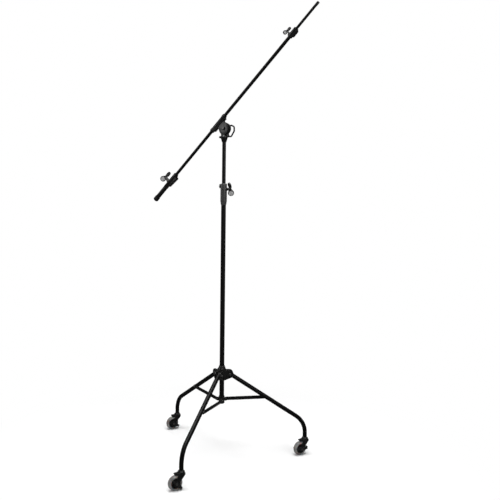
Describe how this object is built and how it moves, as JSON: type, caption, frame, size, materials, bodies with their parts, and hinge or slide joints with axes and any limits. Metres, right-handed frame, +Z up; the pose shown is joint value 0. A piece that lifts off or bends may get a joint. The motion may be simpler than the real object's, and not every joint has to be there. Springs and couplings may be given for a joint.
{
  "type": "boom microphone stand",
  "caption": "Tall studio boom microphone stand: folding wheeled tripod base, telescopic column, and a tilting, sliding, counterweighted boom.",
  "frame": {"origin": "on the floor, on the column's axis", "axes": "+Z up along the column; +X is the side of the boom's microphone end, so the boom lies in the XZ plane at rest"},
  "size_m": [1.2551, 0.9432, 2.5526],
  "materials": {
    "black_enamel": "satin black enamel",
    "cast_black": "textured black powder coat",
    "weight_black": "satin black enamel on steel",
    "knob_plastic": "semi-gloss black plastic",
    "fork_black": "semi-gloss black",
    "wheel_grey": "dark grey soft tread",
    "wheel_core": "black moulded plastic",
    "bush_plastic": "matt black nylon",
    "rubber": "black rubber",
    "fibre": "grey friction fibre",
    "thread_steel": "nickel plated steel",
    "fastener_steel": "black zinc plated steel"
  },
  "bodies": {
    "column": {"column_lower_tube": "black_enamel", "strut_hub": "cast_black", "strut_hub_pins": "fastener_steel", "height_collar": "cast_black", "collar_bush": "bush_plastic", "collar_pinch_screw": "fastener_steel"},
    "crown": {"crown": "cast_black", "leg_pivot_bolts": "fastener_steel", "leg_pivot_nuts": "fastener_steel", "crown_lock_screw": "fastener_steel"},
    "guide": {"guide_bush": "bush_plastic"},
    "upper_column": {"column_upper_tube": "black_enamel", "column_bracket": "cast_black", "cap_screw": "fastener_steel", "friction_washer": "fibre"},
    "height_knob": {"height_knob": "knob_plastic"},
    "boom_bracket": {"boom_bracket": "cast_black", "boom_bushes": "bush_plastic", "pivot_bolt": "fastener_steel"},
    "pivot_lever": {"pivot_lever": "cast_black", "pivot_lever_cap": "knob_plastic"},
    "boom": {"boom_tube": "black_enamel", "boom_tail_plug": "bush_plastic", "boom_clamp": "cast_black", "boom_inner_bush": "bush_plastic"},
    "boom_clamp_knob": {"boom_clamp_knob": "knob_plastic"},
    "boom_inner": {"boom_inner_tube": "black_enamel", "boom_tip": "thread_steel"},
    "counterweight": {"counterweight": "weight_black", "counterweight_clamp": "cast_black", "tail_buffer": "rubber"},
    "counterweight_knob": {"counterweight_knob": "knob_plastic"},
    "leg_1": {"leg_1_tube": "black_enamel", "caster_1_stem": "fastener_steel"},
    "strut_1": {"strut_1": "black_enamel", "strut_1_rivet": "fastener_steel"},
    "caster_1": {"caster_1_fork": "fork_black", "caster_1_axle": "fastener_steel"},
    "wheel_1": {"wheel_1_core": "wheel_core", "wheel_1_tyre": "wheel_grey"},
    "brake_1": {"brake_1_pedal": "knob_plastic"},
    "leg_2": {"leg_2_tube": "black_enamel", "caster_2_stem": "fastener_steel"},
    "strut_2": {"strut_2": "black_enamel", "strut_2_rivet": "fastener_steel"},
    "caster_2": {"caster_2_fork": "fork_black", "caster_2_axle": "fastener_steel"},
    "wheel_2": {"wheel_2_core": "wheel_core", "wheel_2_tyre": "wheel_grey"},
    "brake_2": {"brake_2_pedal": "knob_plastic"},
    "leg_3": {"leg_3_tube": "black_enamel", "caster_3_stem": "fastener_steel"},
    "strut_3": {"strut_3": "black_enamel", "strut_3_rivet": "fastener_steel"},
    "caster_3": {"caster_3_fork": "fork_black", "caster_3_axle": "fastener_steel"},
    "wheel_3": {"wheel_3_core": "wheel_core", "wheel_3_tyre": "wheel_grey"},
    "brake_3": {"brake_3_pedal": "knob_plastic"}
  },
  "joints": [
    {"name": "crown_slide", "type": "slide", "parent": "column", "child": "crown", "axis": [0, 0, 1], "range_m": [0, 0.26]},
    {"name": "column_slide", "type": "slide", "parent": "column", "child": "guide", "axis": [0, 0, 1], "range_m": [-0.215, 0.5]},
    {"name": "column_turn", "type": "hinge", "parent": "guide", "child": "upper_column", "pos_m": [0, 0, 0.945], "axis": [0, 0, 1], "continuous": true},
    {"name": "height_knob_turn", "type": "hinge", "parent": "column", "child": "height_knob", "pos_m": [0.02019, 0.00356, 1.576], "axis": [0.9848, 0.1736, 0], "range_deg": [0, 270]},
    {"name": "boom_tilt", "type": "hinge", "parent": "upper_column", "child": "boom_bracket", "pos_m": [0, 0, 1.9277], "axis": [0, -1, 0], "range_deg": [-90, 45]},
    {"name": "pivot_lever_turn", "type": "hinge", "parent": "upper_column", "child": "pivot_lever", "pos_m": [0, 0.011, 1.9277], "axis": [0, -1, 0], "range_deg": [0, 200]},
    {"name": "boom_slide", "type": "slide", "parent": "boom_bracket", "child": "boom", "axis": [0.7627, 0, 0.6468], "range_m": [-0.3, 0.17]},
    {"name": "boom_extend", "type": "slide", "parent": "boom", "child": "boom_inner", "axis": [0.7627, 0, 0.6468], "range_m": [-0.14, 0.45]},
    {"name": "boom_clamp_knob_turn", "type": "hinge", "parent": "boom", "child": "boom_clamp_knob", "pos_m": [0.46125, 0, 2.41196], "axis": [-0.6468, 0, 0.7627], "range_deg": [0, 270]},
    {"name": "counterweight_slide", "type": "slide", "parent": "boom", "child": "counterweight", "axis": [0.7627, 0, 0.6468], "range_m": [0, 0.2]},
    {"name": "counterweight_knob_turn", "type": "hinge", "parent": "counterweight", "child": "counterweight_knob", "pos_m": [-0.48535, 0, 1.62492], "axis": [-0.6468, 0, 0.7627], "range_deg": [0, 270]},
    {"name": "leg_1_fold", "type": "hinge", "parent": "crown", "child": "leg_1", "pos_m": [0.03078, 0.03419, 0.487], "axis": [-0.7431, 0.6691, 0], "range_deg": [-0.5, 25.62]},
    {"name": "strut_1_fold", "type": "hinge", "parent": "column", "child": "strut_1", "pos_m": [0.01606, 0.01784, 0.333], "axis": [0.7431, -0.6691, 0], "range_deg": [-0.5, 47.15]},
    {"name": "caster_1_swivel", "type": "hinge", "parent": "leg_1", "child": "caster_1", "pos_m": [0.33457, 0.37157, 0.09], "axis": [0, 0, 1], "continuous": true},
    {"name": "wheel_1_spin", "type": "hinge", "parent": "caster_1", "child": "wheel_1", "pos_m": [0.32464, 0.33697, 0.04], "axis": [0.9613, -0.2756, 0], "continuous": true},
    {"name": "brake_1_press", "type": "hinge", "parent": "caster_1", "child": "brake_1", "pos_m": [0.32464, 0.33697, 0.04], "axis": [-0.9613, 0.2756, 0], "range_deg": [0, 42]},
    {"name": "leg_2_fold", "type": "hinge", "parent": "crown", "child": "leg_2", "pos_m": [-0.045, 0.00956, 0.487], "axis": [-0.2079, -0.9781, 0], "range_deg": [-0.5, 25.62]},
    {"name": "strut_2_fold", "type": "hinge", "parent": "column", "child": "strut_2", "pos_m": [-0.02348, 0.00499, 0.333], "axis": [0.2079, 0.9781, 0], "range_deg": [-0.5, 47.15]},
    {"name": "caster_2_swivel", "type": "hinge", "parent": "leg_2", "child": "caster_2", "pos_m": [-0.48907, 0.10396, 0.09], "axis": [0, 0, 1], "continuous": true},
    {"name": "wheel_2_spin", "type": "hinge", "parent": "caster_2", "child": "wheel_2", "pos_m": [-0.499, 0.06935, 0.04], "axis": [0.9613, -0.2756, 0], "continuous": true},
    {"name": "brake_2_press", "type": "hinge", "parent": "caster_2", "child": "brake_2", "pos_m": [-0.499, 0.06935, 0.04], "axis": [-0.9613, 0.2756, 0], "range_deg": [-28, 14]},
    {"name": "leg_3_fold", "type": "hinge", "parent": "crown", "child": "leg_3", "pos_m": [0.01422, -0.04375, 0.487], "axis": [0.9511, 0.309, 0], "range_deg": [-0.5, 25.62]},
    {"name": "strut_3_fold", "type": "hinge", "parent": "column", "child": "strut_3", "pos_m": [0.00742, -0.02283, 0.333], "axis": [-0.9511, -0.309, 0], "range_deg": [-0.5, 47.15]},
    {"name": "caster_3_swivel", "type": "hinge", "parent": "leg_3", "child": "caster_3", "pos_m": [0.15451, -0.47553, 0.09], "axis": [0, 0, 1], "continuous": true},
    {"name": "wheel_3_spin", "type": "hinge", "parent": "caster_3", "child": "wheel_3", "pos_m": [0.14459, -0.51013, 0.04], "axis": [0.9613, -0.2756, 0], "continuous": true},
    {"name": "brake_3_press", "type": "hinge", "parent": "caster_3", "child": "brake_3", "pos_m": [0.14459, -0.51013, 0.04], "axis": [-0.9613, 0.2756, 0], "range_deg": [-42, 0]}
  ],
  "couplings": [
    {"joint": "leg_1_fold", "follows": "crown_slide", "rad_per_m": 1.686},
    {"joint": "strut_1_fold", "follows": "crown_slide", "rad_per_m": 3.1315},
    {"joint": "leg_2_fold", "follows": "crown_slide", "rad_per_m": 1.686},
    {"joint": "strut_2_fold", "follows": "crown_slide", "rad_per_m": 3.1315},
    {"joint": "leg_3_fold", "follows": "crown_slide", "rad_per_m": 1.686},
    {"joint": "strut_3_fold", "follows": "crown_slide", "rad_per_m": 3.1315}
  ]
}
